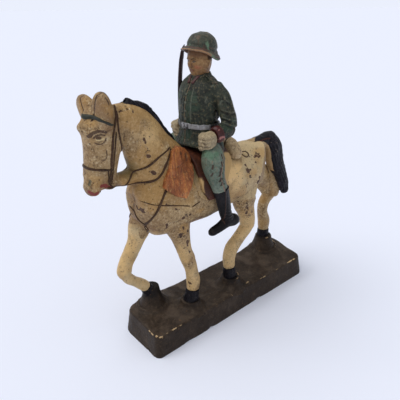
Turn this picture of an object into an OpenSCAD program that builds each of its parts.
// Toy soldier on a walking horse, pressed composition over a wire armature, on a ground base.
// The horse faces -Y, its left side is +X, and the base stands on Z = 0.

/* [Base] */
// Length of the ground base, nose to tail
base_length = 92; // [80:1:110]
// Width of the ground base at its foot
base_width = 26; // [23:1:34]
// Height of the base's top face
base_height = 9.5; // [7:0.5:14]
// How far each side leans in between foot and top
base_draft = 1.3; // [0.5:0.1:2.5]
// Corner radius of the base
base_corner = 6; // [3:0.5:9]

/* [Horse] */
// Length from breast to buttock
horse_length = 72; // [60:1:86]
// Height of the withers above the base
horse_height = 66; // [56:1:78]
// Width of the barrel
horse_width = 22; // [19:0.5:26]

/* [Tack] */
// Thickness of the saddle leather
saddle_thick = 0.9; // [0.6:0.1:1.4]
// Thickness of the saddle cloth
cloth_thick = 0.5; // [0.4:0.1:0.8]
// Height that straps stand proud of the horse
strap_thick = 0.4; // [0.3:0.05:0.6]
// Width of the rein and bridle straps
strap_width = 0.9; // [0.7:0.1:1.3]
// Thickness of the saddle bags
bag_thick = 1.6; // [1:0.1:2.2]

/* [Rider] */
// Height from the seat to the top of the helmet
rider_height = 41; // [35:1:48]
// Width across the shoulders, without the arms
rider_width = 18; // [15:0.5:21]
// Depth of the chest
rider_depth = 12.5; // [11:0.5:15]
// Thickness of the belt
belt_thick = 0.5; // [0.3:0.1:0.8]

/* [Sabre] */
// Length of the blade above the guard
blade_length = 27; // [22:1:32]
// Width of the blade
blade_width = 2.1; // [1.5:0.1:2.8]
// Thickness of the tin blade
blade_thick = 0.6; // [0.4:0.1:0.9]

/* [Armature] */
// Radius of the leg, neck and tail wires
wire_radius = 0.6; // [0.4:0.1:0.8]
// Radius of the rider's spine wire, which is also the seat spike
spike_radius = 1.0; // [0.7:0.1:1.3]
// Depth of the seat spike in the horse
spike_depth = 8; // [5:0.5:11]
// Depth of the leg wires in the base
wire_sink = 5; // [3:0.5:6]

/* [Clearance] */
// Gap between the rider and what it sits on
seat_gap = 0.3; // [0.2:0.05:0.5]
// Radial clearance of the seat spike in its socket
spike_gap = 0.06; // [0.02:0.01:0.1]

/* [Hidden] */
percent = 0.01;
wire_sides = 8;

// Colours as painted
cream = [0.70, 0.58, 0.42];
earth = [0.20, 0.17, 0.15];
black = [0.08, 0.08, 0.09];
leather = [0.24, 0.13, 0.08];
tan = [0.62, 0.30, 0.14];
field_grey = [0.22, 0.25, 0.22];
breeches = [0.38, 0.47, 0.41];
skin = [0.68, 0.47, 0.33];
glove = [0.62, 0.53, 0.40];
oxblood = [0.28, 0.09, 0.08];
steel = [0.45, 0.43, 0.42];
cloth = [0.33, 0.31, 0.21];

// Stations are [y, z, x, half width, depth on the far side of the bend, depth on the near side].
// For the horse, y is a share of its length, z and the depths of its height, x and the half
// width of its width, all in hundredths.
trunk_shares = [
    [-60.8, 77, 0, 8, 3, 3], [-60, 77, 0, 22, 8, 9], [-57.5, 77.5, 0, 33, 13.5, 15],
    [-53, 78, 0, 41, 17.5, 19.5], [-45, 78, 0, 46, 20.5, 21.5], [-33, 79, 0, 48, 20.5, 21.5],
    [-19.5, 79, 0, 50, 18, 21.5], [-5.5, 78.5, 0, 50, 17, 19], [8.5, 79, 0, 49, 16, 16],
    [19.5, 79.5, 0, 48, 16.5, 15], [29, 80, 0, 42, 15.5, 14.5], [36, 80, 0, 30, 11.5, 12.5],
    [39, 79.5, 0, 12, 5, 6]];
neck_shares = [
    [-36, 85, 0, 36, 23, 16], [-43, 95, 0, 33, 20, 16.5], [-49, 105.5, 0, 28, 15.4, 13.5],
    [-54, 115, 0, 25, 12.2, 12], [-59, 123, 0, 23, 10, 9.6], [-65, 127, 0, 20, 8, 6.6],
    [-69, 129, 0, 15, 6, 4]];
head_shares = [
    [-69, 134, 0, 13, 5, 4], [-71.5, 129.5, 0, 21, 8.5, 8.5], [-73.5, 123, 0, 24, 10.5, 9.5],
    [-74.5, 115, 0, 22, 10.5, 8.5], [-76, 107, 0, 19, 8, 7.5], [-78, 100, 0, 17, 6.5, 6.5],
    [-79.5, 95, 0, 16.5, 5.5, 5.5], [-80, 91.5, 0, 12, 3.5, 4]];
jaw_shares = [
    [-70, 112, 0, 14, 5, 5], [-71.5, 103, 0, 13, 3.6, 4.5], [-72.5, 96, 0, 12, 3.2, 3.5],
    [-73, 92.2, 0, 8, 2.2, 2.4]];
ear_shares = [
    [-74.5, 124, 15, 12, 2.4, 2.6], [-75.3, 129, 17, 14.5, 2.6, 2.8],
    [-75.8, 133.5, 19, 15.5, 2.5, 2.7], [-76.6, 137, 19.3, 12.5, 2, 2.2],
    [-77.4, 139.4, 19.3, 6, 1.1, 1.3]];
mane_shares = [
    [-65, 131.4, 0, 5, 1.5, 1.8], [-62, 131.8, 0, 8, 2.4, 2.6], [-58, 131, 0, 9, 3, 3.2],
    [-52.4, 128.8, 0, 9, 3, 3.4], [-47.5, 123, 0, 8, 3, 3.4], [-43.2, 117, 0, 6.5, 2.8, 3.3],
    [-35.2, 106.2, 0, 5.5, 2.6, 3.3], [-30.5, 102, 0, 4, 2.2, 3]];
tail_shares = [
    [22, 93, 0, 9, 3.5, 3.5], [30, 94, 0, 10, 4, 4], [38, 94, 0, 11, 4.5, 4.5],
    [43.5, 88, 0, 12, 5, 5.2], [47, 76.5, 0, 12, 4.8, 4.8], [51.5, 66, 0, 12, 4.6, 4.6],
    [55.5, 57, 0, 11, 4.4, 4.4], [58, 49.5, 0, 7, 3, 3]];
left_fore_shares = [
    [-41, 78, 16, 16, 11, 9], [-39.5, 64, 20, 19, 9, 8.5], [-37.5, 54, 21, 17, 6.2, 6],
    [-35.5, 44.5, 22, 13.5, 4.5, 4.6], [-33, 36, 22, 13, 4.6, 4.6], [-30.5, 27, 22, 11.5, 4, 4],
    [-29.3, 18.5, 22, 12.5, 4.6, 4.4], [-29.8, 12.5, 22, 11.5, 4.2, 4]];
right_fore_shares = [
    [-46, 78, -16, 16, 10, 9], [-52.5, 63, -22, 18, 8, 8], [-56.5, 52, -25, 14.5, 4.9, 4.9],
    [-60, 45.5, -25, 13, 4.4, 4.4], [-63.5, 39.5, -25, 12.5, 4.2, 4.2],
    [-65, 34, -25, 13, 4.3, 4.4], [-64.5, 30.5, -25, 9, 3, 3]];
right_cannon_shares = [
    [-65.5, 34.5, -25, 9, 3, 3], [-63, 29, -25, 11, 3.4, 3.6], [-59, 24.5, -25, 10, 3.1, 3.1],
    [-55, 20.5, -25, 11, 3.5, 3.5], [-52.5, 17.5, -25, 10.5, 3.4, 3.4]];
left_hind_shares = [
    [20, 84, 14, 17, 12, 11], [13, 72, 22, 22, 12, 11.5], [10, 61, 24, 20, 8.5, 8.5],
    [12, 52.5, 24, 16, 6.2, 6.2], [14, 45, 24, 14.5, 5.6, 6], [14, 40, 24, 13, 5, 5]];
left_hock_shares = [
    [16, 44.5, 24, 12, 4, 4.6], [12.5, 39.5, 24, 13, 4.2, 4.6], [6.5, 34, 24, 12.5, 4.2, 4.2],
    [1, 29, 24, 13, 4.6, 4.4], [-1.2, 23, 24, 12.5, 4.6, 4.4], [-1, 15.5, 24, 11.5, 4, 4]];
right_hind_shares = [
    [26, 82, -14, 17, 11, 11], [36, 70, -24, 21, 8, 11], [44.5, 60, -28, 17, 7, 7.6],
    [50, 52, -29, 13.5, 5.6, 6.2], [53, 47, -29, 11, 5, 6]];
right_hock_shares = [
    [58, 50.5, -29, 8, 3.5, 3], [54.5, 47, -29, 11.5, 5, 5.5], [48, 41, -29, 12.5, 4.2, 4.2],
    [46.5, 34, -29, 12, 3.9, 3.9], [48.5, 25.5, -29, 12.8, 4.8, 4.5],
    [48.8, 18, -29, 12, 4, 4]];

left_fore_hoof_shares = [
    [-32.5, -4, 22, 14, 4.7, 4.7], [-31.8, 2, 22, 13.8, 4.6, 4.6],
    [-29.8, 12.5, 22, 12.6, 4.2, 4.2]];
right_fore_hoof_shares = [
    [-48, 4, -25, 11, 3.9, 3.9], [-49.5, 10.5, -25, 12, 4.1, 4.1],
    [-52.5, 17.5, -25, 11.4, 3.7, 3.7]];
left_hind_hoof_shares = [
    [0.5, -4, 24, 13.5, 4.5, 4.5], [0, 3, 24, 13.2, 4.4, 4.4], [-1, 15.5, 24, 12, 4.1, 4.1]];
right_hind_hoof_shares = [
    [48, 3, -29, 14.5, 5, 5], [48.3, 9, -29, 14, 4.8, 4.8], [48.8, 18, -29, 12.6, 4.2, 4.2]];
// Radii of the base's corners, pressed by hand and not quite alike
corner_shares = [90, 100, 110, 95];
// Mounds on the base: [y, x, height, foot radius, top radius], radii in the horse's widths
mound_shares = [
    [-31.5, 22, 2.5, 27, 16], [-48.7, -25, 10.2, 26, 13], [0.2, 24, 3.4, 27, 16],
    [48.2, -26, 8.3, 27, 16]];
// Middles of the leg, spine and tail wires
fore_wire_shares = [
    [-31.3, 4, 22], [-29.6, 14, 22], [-29.8, 22, 22], [-33, 36, 22], [-36, 47, 21.5],
    [-39, 62, 19], [-41, 74, 8], [-46, 73, -10], [-52.5, 62, -22], [-56.5, 52, -25],
    [-63, 40, -25], [-65, 33, -25], [-62.5, 28.7, -25], [-55.5, 21, -25],
    [-50.5, 13.5, -25]];
hind_wire_shares = [
    [0.3, 6, 24], [-1, 17, 24], [-1, 25, 24], [1.5, 29.5, 24], [12, 39.5, 24],
    [12.5, 51, 24], [10.5, 61, 24], [14, 73, 18], [22, 76, 0], [30, 74, -16],
    [37, 69, -24], [45, 59, -27.5], [53, 47.5, -29], [48.5, 41.5, -29], [46.5, 34, -29],
    [48, 26, -29], [48.5, 12, -29]];
function foot_end(s) = [horse_at(s).x, horse_at(s).y, base_height - wire_sink];
function into_base(shares) = [foot_end(shares[0]), for (s = shares) horse_at(s),
    foot_end(shares[len(shares) - 1])];

// Side outlines of the tack, [y, z] in hundredths of the horse's length and height
saddle_outline_shares = [
    [-30, 101], [-31, 92], [-29.5, 82], [-26, 76], [-20, 76], [-15, 80], [-11, 88], [-7, 94],
    [-6, 104], [-30, 108]];
cloth_outline_shares = [
    [-33, 101], [-34, 90], [-31, 79], [-25, 75], [-16, 76], [-6, 83], [2, 88], [5.5, 94],
    [5.5, 104], [-33, 108]];
bag_outline_shares = [
    [-43, 107], [-46.5, 97], [-50.8, 89.5], [-46, 84.5], [-40, 81.5], [-35.6, 88], [-31.8, 96],
    [-30.8, 102], [-33, 105.5], [-38, 108]];
rein_outline_shares = [
    [-75, 94], [-65, 92], [-57.7, 92.5], [-52.5, 93.4], [-49, 96.8], [-45.2, 103],
    [-42.2, 108]];
upper_rein_shares = [
    [-66, 92.5], [-62.8, 97.2], [-59, 99.8], [-55, 101.4], [-51.5, 104.3], [-46.9, 106.7],
    [-42.5, 108.5]];
cheek_strap_shares = [
    [-68.2, 134], [-69.2, 129], [-71.7, 122], [-73, 113], [-73.4, 104], [-74.4, 95.5]];
brow_band_shares = [
    [-68.5, 124.8], [-72, 125.8], [-76, 127.6], [-81, 129.6], [-86, 130.5]];
nose_band_shares = [
    [-68, 104.2], [-74, 104.5], [-81, 105.1], [-90, 105.2]];
throat_strap_shares = [[-68, 131], [-69, 124], [-68, 116], [-65.5, 109]];
stud_shares = [7.6, 90, 25];
breast_strap_shares = [
    [-48, 89], [-51, 85], [-54, 79], [-57.7, 69.8]];
breast_line_shares = [
    [-60.5, 83.4], [-54.8, 81], [-45, 78.4], [-36.5, 75.2]];

web_shares = [
    [-76, 95, 0, 9, 1.6, 1.6], [-71, 95.8, 0, 13, 2.7, 2.6], [-65, 95.3, 0, 14, 3.6, 3.6],
    [-58, 95.5, 0, 14, 4.2, 4.2]];
spine_wire_shares = [
    [-74, 110, 0], [-72, 122, 0], [-64, 125, 0], [-54, 114, 0], [-44, 96, 0], [-34, 80, 0],
    [30, 80, 0], [38, 92.5, 0], [43.5, 88, 0], [47, 77, 0], [54, 60, 0]];

// The rider's stations, in hundredths of the rider's depth (y), height (z) and width (x)
torso_shares = [
    [-10, -4, 0, 56, 66, 54], [-10, 4, 0, 55, 64, 54], [-12, 13, 0, 50, 56, 48],
    [-14, 22, 0, 44, 51, 44], [-14, 32, 0, 45, 52, 47], [-12, 44, 0, 48, 52, 49],
    [-8, 55, 0, 47, 43, 43], [-6, 61, 0, 36, 33, 35], [-6, 65, 0, 20, 23, 24]];
face_shares = [
    [-6, 60, 0, 15, 22, 24], [-9, 64.5, 0, 17, 22, 27], [-11.5, 69, 0, 20, 29, 31],
    [-11.5, 75, 0, 22.5, 34, 36], [-10.5, 82, 0, 22.5, 35, 37], [-6, 89, 0, 20, 30, 33],
    [-3, 93.5, 0, 12, 18, 20]];
helmet_shares = [
    [-7, 82.2, 0, 36, 60, 60], [-5.4, 84.1, 0, 33.5, 52, 54],
    [-3.4, 86.4, 0, 30.5, 45.5, 47], [-1.2, 90, 0, 29, 43, 43.5], [1, 93.7, 0, 25.5, 38, 38],
    [3, 97, 0, 18.5, 28, 27], [4, 99.3, 0, 7, 9, 9]];
left_arm_shares = [
    [-3, 59.5, 40, 15, 20, 21], [2, 52, 50, 17, 24, 26], [10, 40, 58.5, 16.5, 24.5, 25],
    [18, 27, 65, 15.5, 22, 24], [19, 20, 65, 12, 15, 16]];
left_sleeve_shares = [
    [30, 22, 65, 10, 5, 6], [20, 22, 65, 14, 8, 8.5], [2, 20.5, 64, 14, 7.5, 8],
    [-16, 18.6, 61.5, 13, 7, 7]];
left_cuff_shares = [
    [-14, 18.7, 62, 14.5, 7.6, 7.6], [-25, 17.8, 60.5, 15, 7.8, 8], [-34, 17.2, 59, 13.5, 7, 7]];
left_glove_shares = [
    [-31, 17.4, 59.5, 11.5, 5.8, 5.8], [-44, 16.8, 57.5, 13, 6.6, 6.6],
    [-58, 15.8, 54.5, 12.5, 6.2, 6.6], [-68, 15, 52.5, 6.5, 3.4, 3.8]];
right_arm_shares = [
    [-3, 59.5, -40, 15, 20, 21], [1, 52, -50, 17, 24, 26], [7, 40, -58, 16.5, 24.5, 25],
    [13, 27, -61, 15.5, 22, 23], [13, 20, -60, 12, 15, 15]];
right_sleeve_shares = [
    [26, 22, -61, 10, 5, 6], [14, 22, -62, 14, 8, 8.5], [0, 21, -60, 14, 7.5, 8],
    [-14, 19.5, -55, 13, 6.6, 6.8]];
right_glove_shares = [
    [-11, 19.3, -54.5, 11, 5.5, 5.5], [-20, 18, -51.5, 13, 6.6, 6.6],
    [-32, 16.2, -49, 14.5, 7.6, 7.6], [-43, 14.4, -47, 12.5, 6.2, 6.6],
    [-49, 13.4, -46, 5.5, 3, 3.5]];
leg_shares = [
    [0, 6, 30, 18, 32, 34], [-20, 2, 50, 23, 42, 44], [-42, -7, 64, 22, 36, 38],
    [-39, -20, 70, 17, 27, 28], [-26, -31, 72, 15.5, 25, 25], [-21, -36, 72, 12, 20, 20]];
boot_shares = [
    [-26, -30.5, 72, 17, 27, 27], [-13, -44, 72, 14.5, 24, 24], [-5, -55, 72, 13.5, 22, 22],
    [6, -63, 72, 12.5, 20, 21], [8, -69, 72, 10, 16, 17]];
foot_shares = [
    [50, -70.5, 72, 9, 4, 3.5], [36, -69, 72, 12.5, 5.6, 6.5], [4, -67.5, 72, 13, 5.8, 6.6],
    [-32, -70, 72, 13.5, 4.4, 4.6], [-58, -71.5, 72, 12.5, 4, 4.2],
    [-70, -72, 72, 7, 2.4, 2.4]];

// Where the rider sits on the horse: y and z in hundredths of its length and height
seat_shares = [-15.3, 101];
seat = [0, seat_shares.x * percent * horse_length,
    base_height + seat_shares.y * percent * horse_height];
// The rider's wires, as [y, z, x] in the rider's shares
left_arm_wire_shares = [
    [-52, 15, 56], [-30, 17, 59.5], [-8, 19, 61.5], [15, 21.5, 62.5], [17, 28, 62.5],
    [10, 40, 58], [2, 51, 50], [0, 55, 38]];
right_arm_wire_shares = [
    [-8, 20.2, -57], [0, 21.2, -59.5], [10, 22, -60.5], [12, 29, -60.5],
    [7, 40, -58], [1, 51, -50], [0, 55, -38]];
leg_wire_shares = [
    [4, -63, 0], [-10, -46, 0], [-26, -31.5, 0], [-38, -20, 0], [-40, -10, 0]];
button_shares = [29, 36, 43, 50];
guard_shares = [-25, 22.5, -50.5];
collar_shares = [
    [-6, 58.5, 0, 25, 30, 31], [-7, 62.5, 0, 23, 28.5, 31], [-8.5, 66.5, 0, 20.5, 27.5, 31]];

// The saddle's cross-section stands on the barrel's widest line
arch_z = base_height + 0.79 * horse_height;
arch_rise = 0.21 * horse_height;
saddle_top = cloth_thick + saddle_thick;
straddle = horse_width / 2 + saddle_top + seat_gap;
seat_z = arch_z + arch_rise + saddle_top + seat_gap;
rider_front = seat.y - 0.82 * rider_depth;
spine_y = seat.y - 0.1 * rider_depth;
leg_wire_in = 0.08 * rider_width;
leg_x = straddle + 0.02 * rider_width;
leg_track_share = 72;
sabre_lean = -3.5;

function horse_at(s) = [s[2] * percent * horse_width, s[0] * percent * horse_length,
    base_height + s[1] * percent * horse_height];
function rider_at(s) = seat + percent * [s[2] * rider_width, s[0] * rider_depth,
    s[1] * rider_height];
// The legs hang beside the barrel, so their x follows the saddle's width
function astride_at(s) = [s[2] / leg_track_share * leg_x, rider_at(s).y, rider_at(s).z];

function with_size(p, half, far, near) = [p.x, p.y, p.z, half, far, near];
function horse_stations(shares) = [for (s = shares) with_size(horse_at(s),
    s[3] * percent * horse_width, s[4] * percent * horse_height,
    s[5] * percent * horse_height)];
function torso_stations(shares) = [for (s = shares) with_size(rider_at(s),
    s[3] * percent * rider_width, s[4] * percent * rider_depth,
    s[5] * percent * rider_depth)];
function sleeve_stations(shares) = [for (s = shares) with_size(rider_at(s),
    s[3] * percent * rider_width, s[4] * percent * rider_height,
    s[5] * percent * rider_height)];
function leg_stations(shares) = [for (s = shares) with_size(astride_at(s),
    s[3] * percent * rider_width, s[4] * percent * rider_depth,
    s[5] * percent * rider_depth)];
function foot_stations(shares) = [for (s = shares) with_size(astride_at(s),
    s[3] * percent * rider_width, s[4] * percent * rider_height,
    s[5] * percent * rider_height)];

// A smooth curve through the stations, with steps points to each
function blend(a, b, c, d, t) = 0.5 * (2 * b + (c - a) * t + (2 * a - 5 * b + 4 * c - d) * t * t
    + (3 * b - a - 3 * c + d) * t * t * t);
function smooth(s, steps) = [for (i = [0:len(s) - 2]) for (k = [0:steps - 1])
    blend(s[max(i - 1, 0)], s[i], s[i + 1], s[min(i + 2, len(s) - 1)], k / steps),
    s[len(s) - 1]];
// Across the path in the side view, on the far side of the bend
function across(s, i) = let (a = s[max(i - 1, 0)], b = s[min(i + 1, len(s) - 1)],
    t = [b.y - a.y, b.z - a.z]) [-t.y, t.x] / norm(t);
function ring(s, n, sides, square, grow, ahead) = [for (k = [0:sides - 1])
    let (c = cos(360 * k / sides), d = sin(360 * k / sides),
        e = pow(pow(abs(c), square) + pow(abs(d), square), -1 / square),
        depth = (d > 0 ? s[4] : s[5]) + grow)
    [s.x + (s[3] + grow) * c * e, s.y + n.x * depth * d * e + n.y * ahead,
        s.z + n.y * depth * d * e - n.x * ahead]];

// A closed skin over elliptical sections set square to the path
module loft(stations, sides = 14, steps = 2, square = 2, grow = 0) {
    s = smooth(stations, steps);
    last = len(s) - 1;
    points = [for (i = [0:last]) each ring(s[i], across(s, i), sides, square, grow,
        i == 0 ? -grow : i == last ? grow : 0)];
    walls = [for (i = [0:last - 1]) for (k = [0:sides - 1])
        let (a = i * sides + k, b = i * sides + (k + 1) % sides)
        each [[a, b, b + sides], [a, b + sides, a + sides]]];
    start = [for (k = [sides - 1:-1:0]) k];
    end = [for (k = [0:sides - 1]) last * sides + k];
    polyhedron(points, concat([start], walls, [end]));
}

// Directions along a line of points, and beside it without twisting
function headings(p) = [for (i = [0:len(p) - 1])
    let (d = p[min(i + 1, len(p) - 1)] - p[max(i - 1, 0)]) d / norm(d)];
function beside(t, i, last) = i == len(t) ? [] :
    let (v = last - (last * t[i]) * t[i], u = v / norm(v)) concat([u], beside(t, i + 1, u));

// A bent wire through points
module wire(points, r) {
    t = headings(points);
    u = beside(t, 0, [1, 0.3, 0.2]);
    last = len(points) - 1;
    rings = [for (i = [0:last]) for (k = [0:wire_sides - 1])
        let (a = 360 * k / wire_sides)
        points[i] + r * (cos(a) * u[i] + sin(a) * cross(t[i], u[i]))];
    walls = [for (i = [0:last - 1]) for (k = [0:wire_sides - 1])
        let (a = i * wire_sides + k, b = i * wire_sides + (k + 1) % wire_sides)
        each [[a, b + wire_sides, b], [a, a + wire_sides, b + wire_sides]]];
    start = [for (k = [0:wire_sides - 1]) k];
    end = [for (k = [wire_sides - 1:-1:0]) last * wire_sides + k];
    polyhedron(rings, concat([start], walls, [end]));
}

module trunk_skin(grow = 0) {
    loft(horse_stations(trunk_shares), 20, 2, 2.2, grow);
}

module neck_skin(grow = 0) {
    loft(horse_stations(neck_shares), 16, 2, 2, grow);
}

module head_skin(grow = 0) {
    loft(horse_stations(head_shares), 16, 2, 2.3, grow);
}

module body_skin(grow = 0) {
    trunk_skin(grow);
    neck_skin(grow);
}

module mirrored() {
    children();
    mirror([1, 0, 0])
        children();
}

// A side outline drawn right through the horse
module through(shares) {
    rotate([90, 0, 90])
        linear_extrude(height = 3 * horse_width, center = true)
            polygon([for (s = shares) [horse_at([s.x, s.y, 0]).y, horse_at([s.x, s.y, 0]).z]]);
}

// A strap of even width along a side line, drawn right through the horse
module strap(shares, width) {
    p = [for (s = smooth(shares, 2)) [horse_at([s.x, s.y, 0]).y, horse_at([s.x, s.y, 0]).z]];
    last = len(p) - 1;
    n = [for (i = [0:last]) let (d = p[min(i + 1, last)] - p[max(i - 1, 0)])
        [-d.y, d.x] * width / 2 / norm(d)];
    rotate([90, 0, 90])
        linear_extrude(height = 3 * horse_width, center = true)
            polygon([for (i = [0:last]) p[i] + n[i], for (i = [last:-1:0]) p[i] - n[i]]);
}

// The saddle's cross-section, with upright sides below the widest place
module arch(grow) {
    rotate([90, 0, 0])
        linear_extrude(height = 3 * horse_length, center = true)
            polygon([for (k = [0:24]) let (c = cos(7.5 * k), d = sin(7.5 * k),
                e = pow(pow(abs(c), 2.2) + pow(abs(d), 2.2), -1 / 2.2))
                [(horse_width / 2 + grow) * c * e, arch_z + (arch_rise + grow) * d * e],
                [-horse_width / 2 - grow, 0], [horse_width / 2 + grow, 0]]);
}

// Where the rider's skirt and knees come down: the horse stays inside the arch there
module rider_room() {
    difference() {
        translate([-horse_width, rider_front - seat_gap, base_height])
            cube([2 * horse_width, horse_length / 2, 2 * horse_height]);
        arch(saddle_top);
    }
}

// The slab's outline, round at the corners
function corner_at(i, k) = let (r = base_corner * corner_shares[i] * percent,
    a = 90 * i + 15 * k, over = [i == 0 || i == 3 ? 1 : -1, i < 2 ? 1 : -1])
    [over.x * (base_width / 2 - r) + r * cos(a), over.y * (base_length / 2 - r) + r * sin(a)];

module slab() {
    linear_extrude(height = base_height, scale = [1 - 2 * base_draft / base_width,
        1 - 2 * base_draft / base_length])
        polygon([for (i = [0:3]) for (k = [0:6]) corner_at(i, k)]);
}

module mound_skins() {
    for (m = mound_shares)
        translate([horse_at([0, 0, m[1]]).x, horse_at(m).y, base_height])
            cylinder(h = m[2] * percent * horse_height, r1 = m[3] * percent * horse_width,
                r2 = m[4] * percent * horse_width, $fn = 12);
}

module base_body() {
    slab();
    mound_skins();
}

module fore_wire(grow = 0) {
    wire(into_base(fore_wire_shares), wire_radius + grow);
}

module hind_wire(grow = 0) {
    wire(into_base(hind_wire_shares), wire_radius + grow);
}

module spine(grow = 0) {
    wire([for (s = spine_wire_shares) horse_at(s)], wire_radius + grow);
}

// The upright spike the rider plugs in by, and its socket
module spike(grow = 0) {
    translate([seat.x, spine_y, seat_z - spike_depth - grow])
        cylinder(h = seat_z * 0.5, r = spike_radius + grow, $fn = 32);
}

module hoof_skin(h) {
    loft(horse_stations(h), 12, 1);
}

module left_fore_skin() {
    loft(horse_stations(left_fore_shares), 14, 2);
}

module right_fore_skin() {
    loft(horse_stations(right_fore_shares), 14, 2);
    loft(horse_stations(right_cannon_shares), 12, 2);
}

module left_hind_skin() {
    loft(horse_stations(left_hind_shares), 14, 2);
    loft(horse_stations(left_hock_shares), 12, 2);
}

module right_hind_skin() {
    loft(horse_stations(right_hind_shares), 14, 2);
    loft(horse_stations(right_hock_shares), 12, 2);
}

module base() {
    color(earth)
        difference() {
            slab();
            fore_wire();
            hind_wire();
        }
}

module mounds() {
    color(earth)
        difference() {
            mound_skins();
            fore_wire();
            hind_wire();
        }
}

module trunk() {
    color(cream)
        difference() {
            trunk_skin();
            spine();
            fore_wire();
            hind_wire();
            spike(spike_gap);
        }
}

module neck() {
    color(cream)
        difference() {
            neck_skin();
            trunk_skin();
            head_skin();
            spine();
            rider_room();
            spike(spike_gap);
        }
}

module head() {
    color(cream)
        difference() {
            union() {
                head_skin();
                loft(horse_stations(jaw_shares), 12, 2);
            }
            spine();
        }
}

module ears() {
    color(cream)
        difference() {
            mirrored()
                loft(horse_stations(ear_shares), 10, 2);
            head_skin();
            neck_skin();
        }
}

module mane() {
    color(black)
        difference() {
            loft(horse_stations(mane_shares), 10, 2);
            head_skin();
            neck_skin();
            trunk_skin();
            rider_room();
        }
}

module tail() {
    color(black)
        difference() {
            loft(horse_stations(tail_shares), 12, 2);
            trunk_skin();
            spine();
        }
}

module left_fore_leg() {
    color(cream)
        difference() {
            left_fore_skin();
            trunk_skin();
            hoof_skin(left_fore_hoof_shares);
            fore_wire();
        }
}

module right_fore_leg() {
    color(cream)
        difference() {
            right_fore_skin();
            trunk_skin();
            hoof_skin(right_fore_hoof_shares);
            fore_wire();
        }
}

module left_hind_leg() {
    color(cream)
        difference() {
            left_hind_skin();
            trunk_skin();
            hoof_skin(left_hind_hoof_shares);
            hind_wire();
        }
}

module right_hind_leg() {
    color(cream)
        difference() {
            right_hind_skin();
            trunk_skin();
            hoof_skin(right_hind_hoof_shares);
            hind_wire();
        }
}

module left_fore_hoof() {
    color(black)
        difference() {
            hoof_skin(left_fore_hoof_shares);
            base_body();
            fore_wire();
        }
}

module right_fore_hoof() {
    color(black)
        difference() {
            hoof_skin(right_fore_hoof_shares);
            base_body();
            fore_wire();
        }
}

module left_hind_hoof() {
    color(black)
        difference() {
            hoof_skin(left_hind_hoof_shares);
            base_body();
            hind_wire();
        }
}

module right_hind_hoof() {
    color(black)
        difference() {
            hoof_skin(right_hind_hoof_shares);
            base_body();
            hind_wire();
        }
}

module spine_wire() {
    color(steel)
        spine();
}

module fore_leg_wire() {
    color(steel)
        fore_wire();
}

module hind_leg_wire() {
    color(steel)
        hind_wire();
}

module saddle_cloth() {
    color(cloth)
        difference() {
            intersection() {
                trunk_skin(cloth_thick);
                through(cloth_outline_shares);
            }
            trunk_skin();
            neck_skin();
            bags();
            rider_room();
            spike(spike_gap);
        }
}

module saddle() {
    color(leather)
        difference() {
            intersection() {
                arch(saddle_top);
                through(saddle_outline_shares);
            }
            trunk_skin(cloth_thick);
            neck_skin();
            mane();
            bags();
            spike(spike_gap);
        }
}

module bags() {
    difference() {
        intersection() {
            body_skin(bag_thick);
            through(bag_outline_shares);
            mirrored()
                translate([horse_width * 0.16, -horse_length, base_height])
                    cube([horse_width, 2 * horse_length, 2 * horse_height]);
        }
        body_skin();
        rider_room();
    }
}

module left_saddle_bag() {
    color(tan)
        intersection() {
            bags();
            translate([seat.x, -horse_length, base_height])
                cube([horse_width, 2 * horse_length, 2 * horse_height]);
        }
}

module right_saddle_bag() {
    color(tan)
        intersection() {
            bags();
            translate([-horse_width, -horse_length, base_height])
                cube([horse_width, 2 * horse_length, 2 * horse_height]);
        }
}

module blanket_roll() {
    r = horse_width * 0.145;
    y = seat.y + rider_depth * 0.6 + r + seat_gap;
    color(cream)
        difference() {
            for (k = [0:3])
                hull()
                    for (a = [50 + 20 * k, 70 + 20 * k])
                        translate([(horse_width / 2 - r / 2) * cos(a), y,
                            arch_z + (arch_rise + cloth_thick) * sin(a)])
                            sphere(r = r, $fn = 10);
            trunk_skin(cloth_thick);
            saddle();
        }
}

module bridle() {
    color(leather)
        difference() {
            intersection() {
                head_skin(strap_thick);
                union() {
                    strap(cheek_strap_shares, strap_width);
                    strap(brow_band_shares, strap_width);
                    strap(nose_band_shares, strap_width);
                    strap(throat_strap_shares, strap_width);
                }
            }
            head_skin();
            neck_skin();
            ears();
            mane();
            loft(horse_stations(jaw_shares), 12, 2);
        }
}

module reins() {
    color(leather)
        difference() {
            intersection() {
                body_skin(strap_thick);
                union() {
                    strap(rein_outline_shares, strap_width);
                    strap(upper_rein_shares, strap_width);
                }
            }
            body_skin();
            head_skin(strap_thick);
            bags();
        }
}

module rein_web() {
    color(cream)
        difference() {
            loft(horse_stations(web_shares), 12, 2);
            head();
            head_skin(strap_thick);
            body_skin(strap_thick);
        }
}

module breast_straps() {
    color(leather)
        difference() {
            intersection() {
                body_skin(strap_thick);
                union() {
                    strap(breast_strap_shares, strap_width);
                    strap(breast_line_shares, strap_width);
                }
            }
            body_skin();
            bags();
            left_fore_skin();
            right_fore_skin();
        }
}

module croup_studs() {
    color(cream)
        difference() {
            intersection() {
                trunk_skin(strap_thick);
                mirrored()
                    translate(horse_at(stud_shares))
                        cylinder(h = horse_width, r = strap_width * 1.2, center = true,
                            $fn = 12);
            }
            trunk_skin();
        }
}

module torso_skin(grow = 0) {
    loft(torso_stations(torso_shares), 16, 2, 2.4, grow);
}

module face_skin() {
    loft(torso_stations(face_shares), 14, 2);
}

module collar_skin(grow = 0) {
    loft(torso_stations(collar_shares), 14, 2, 2, grow);
}

module helmet_skin() {
    loft(torso_stations(helmet_shares), 16, 2);
}

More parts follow.
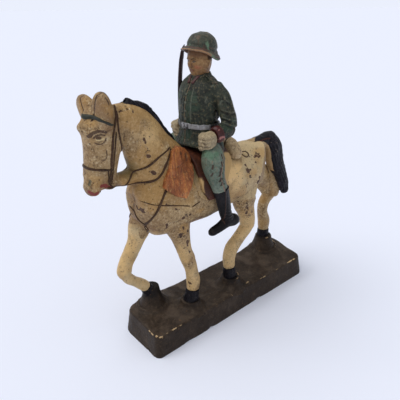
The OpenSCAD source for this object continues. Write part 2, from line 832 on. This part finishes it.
module arm_wire() {
    wire([for (s = left_arm_wire_shares) rider_at(s),
        [seat.x, spine_y + spike_radius + wire_radius + seat_gap, rider_at([0, 55, 0]).z],
        for (k = [len(right_arm_wire_shares) - 1:-1:0]) rider_at(right_arm_wire_shares[k])],
        wire_radius);
}

module leg_wire() {
    half = [for (s = leg_wire_shares) [straddle + leg_wire_in, rider_at(s).y, rider_at(s).z]];
    hip = [straddle * 0.8, spine_y - spike_radius - wire_radius - seat_gap,
        seat_z + wire_radius + seat_gap - arch_rise * 0.1];
    top = [seat.x, hip.y, seat_z + wire_radius + seat_gap];
    near = [hip.x * 0.5, hip.y, top.z];
    wire([for (p = half) p, hip, near, for (p = [near, hip]) [-p.x, p.y, p.z],
        for (k = [len(half) - 1:-1:0]) [-half[k].x, half[k].y, half[k].z]], wire_radius);
}

module left_arm_skin() {
    loft(torso_stations(left_arm_shares), 12, 2);
    loft(sleeve_stations(left_sleeve_shares), 12, 2);
}

module right_arm_skin() {
    loft(torso_stations(right_arm_shares), 12, 2);
    loft(sleeve_stations(right_sleeve_shares), 12, 2);
}

module cuff_skin() {
    loft(sleeve_stations(left_cuff_shares), 12, 2);
}

module boot_skin() {
    loft(leg_stations(boot_shares), 12, 2);
    loft(foot_stations(foot_shares), 12, 2);
}

module rider_torso() {
    color(field_grey)
        difference() {
            torso_skin();
            arch(saddle_top + seat_gap);
            hands();
            sabre_skin();
            spike();
            arm_wire();
            leg_wire();
        }
}

module rider_head() {
    color(skin)
        difference() {
            face_skin();
            torso_skin();
            spike();
        }
}

module collar() {
    color(field_grey)
        difference() {
            collar_skin();
            face_skin();
            torso_skin();
            spike();
        }
}

module collar_patches() {
    color(oxblood)
        difference() {
            intersection() {
                collar_skin(belt_thick);
                mirrored()
                    translate([rider_width * 0.03, rider_at([-60, 0, 0]).y,
                        rider_at([0, 61, 0]).z])
                        cube([rider_width * 0.14, rider_depth * 0.5, rider_height * 0.045]);
            }
            collar_skin();
            face_skin();
            torso_skin();
        }
}

module helmet() {
    color(field_grey)
        difference() {
            helmet_skin();
            face_skin();
        }
}

module belt() {
    color(steel)
        difference() {
            intersection() {
                torso_skin(belt_thick);
                translate([-rider_width, seat.y - rider_depth, rider_at([0, 21, 0]).z])
                    cube([2 * rider_width, 2 * rider_depth, rider_height * 0.045]);
            }
            torso_skin();
            left_arm_skin();
            right_arm_skin();
            hands();
            sabre_skin();
        }
}

module hands() {
    cuff_skin();
    loft(sleeve_stations(left_glove_shares), 12, 2);
    loft(sleeve_stations(right_glove_shares), 12, 2);
}

module buckle() {
    color(steel)
        difference() {
            intersection() {
                torso_skin(2 * belt_thick);
                translate([-rider_width * 0.08, seat.y - rider_depth,
                    rider_at([0, 20.5, 0]).z])
                    cube([rider_width * 0.16, rider_depth, rider_height * 0.055]);
            }
            torso_skin(belt_thick);
        }
}

module tunic_buttons() {
    color(steel)
        difference() {
            intersection() {
                torso_skin(belt_thick);
                rotate([90, 0, 0])
                    for (z = button_shares)
                        translate([seat.x, rider_at([0, z, 0]).z, -seat.y])
                            cylinder(h = rider_depth, r = rider_width * 0.025, $fn = 12);
            }
            torso_skin();
        }
}

module shoulder_straps() {
    color(field_grey)
        difference() {
            intersection() {
                shoulder_skin(belt_thick);
                mirrored()
                    translate([rider_width * 0.2, rider_at([-16, 0, 0]).y,
                        rider_at([0, 50, 0]).z])
                        cube([rider_width * 0.3, rider_depth * 0.2, rider_height * 0.2]);
            }
            shoulder_skin();
            collar_skin();
            sabre_skin();
        }
}

module shoulder_skin(grow = 0) {
    torso_skin(grow);
    loft(torso_stations(left_arm_shares), 12, 2, 2, grow);
    loft(torso_stations(right_arm_shares), 12, 2, 2, grow);
}

module left_arm() {
    color(field_grey)
        difference() {
            left_arm_skin();
            torso_skin();
            cuff_skin();
            arm_wire();
        }
}

module left_cuff() {
    color(oxblood)
        difference() {
            cuff_skin();
            arch(saddle_top + seat_gap);
            arm_wire();
        }
}

module left_glove() {
    color(glove)
        difference() {
            loft(sleeve_stations(left_glove_shares), 12, 2);
            cuff_skin();
            arch(saddle_top + seat_gap);
            arm_wire();
        }
}

module right_arm() {
    color(field_grey)
        difference() {
            right_arm_skin();
            torso_skin();
            sabre_skin();
            arm_wire();
        }
}

module right_glove() {
    color(glove)
        difference() {
            loft(sleeve_stations(right_glove_shares), 12, 2);
            right_arm_skin();
            arch(saddle_top + seat_gap);
            sabre_skin();
            arm_wire();
        }
}

module leg_skin() {
    difference() {
        loft(leg_stations(leg_shares), 14, 2);
        boot_skin();
    }
}

module left_leg() {
    color(breeches)
        difference() {
            leg_skin();
            torso_skin();
            arch(saddle_top + seat_gap);
            hands();
            leg_wire();
        }
}

module right_leg() {
    color(breeches)
        difference() {
            mirror([1, 0, 0])
                leg_skin();
            torso_skin();
            arch(saddle_top + seat_gap);
            hands();
            sabre_skin();
            leg_wire();
        }
}

module left_boot() {
    color(black)
        difference() {
            boot_skin();
            arch(saddle_top + seat_gap);
            leg_wire();
        }
}

module right_boot() {
    color(black)
        difference() {
            mirror([1, 0, 0])
                boot_skin();
            arch(saddle_top + seat_gap);
            leg_wire();
        }
}

module rider_spine_wire() {
    color(steel)
        spike();
}

module rider_arm_wire() {
    color(steel)
        arm_wire();
}

module rider_leg_wire() {
    color(steel)
        leg_wire();
}

// The blade's side view, from the guard up, curving back
function blade_line(t) = [blade_length * -0.035 * (1 - pow(2 * t - 1, 2)), blade_length * t];

module blade_skin() {
    translate(rider_at(guard_shares))
        rotate([sabre_lean, 0, 0])
            rotate([90, 0, 90])
                linear_extrude(height = blade_thick, center = true)
                    polygon([for (k = [0:9]) blade_line(k / 10) - [blade_width / 2, 0],
                        blade_line(1) + [blade_width * 0.2, 0],
                        for (k = [9:-1:0]) blade_line(k / 10) + [blade_width / 2, 0]]);
}

module hilt_skin() {
    translate(rider_at(guard_shares))
        rotate([sabre_lean, 0, 0]) {
            translate([0, 0, -blade_width * 0.35])
                cylinder(h = blade_width * 0.35, r = blade_width * 0.95, $fn = 16);
            translate([0, 0, -blade_width * 2.6])
                cylinder(h = blade_width * 2.4, r = blade_width * 0.42, $fn = 16);
            translate([0, 0, -blade_width * 2.9])
                cylinder(h = blade_width * 0.6, r = blade_width * 0.6, $fn = 16);
        }
}

module sabre_skin() {
    blade_skin();
    hilt_skin();
}

module sabre_blade() {
    color(steel)
        blade_skin();
}

module sabre_hilt() {
    color(steel)
        hilt_skin();
}

base();
mounds();
trunk();
neck();
head();
ears();
mane();
tail();
left_fore_leg();
right_fore_leg();
left_hind_leg();
right_hind_leg();
left_fore_hoof();
right_fore_hoof();
left_hind_hoof();
right_hind_hoof();
spine_wire();
fore_leg_wire();
hind_leg_wire();
saddle_cloth();
saddle();
left_saddle_bag();
right_saddle_bag();
blanket_roll();
bridle();
reins();
rein_web();
breast_straps();
croup_studs();
rider_torso();
rider_head();
helmet();
collar();
collar_patches();
belt();
buckle();
tunic_buttons();
shoulder_straps();
left_arm();
right_arm();
left_glove();
right_glove();
left_cuff();
left_leg();
right_leg();
left_boot();
right_boot();
rider_spine_wire();
rider_arm_wire();
rider_leg_wire();
sabre_blade();
sabre_hilt();
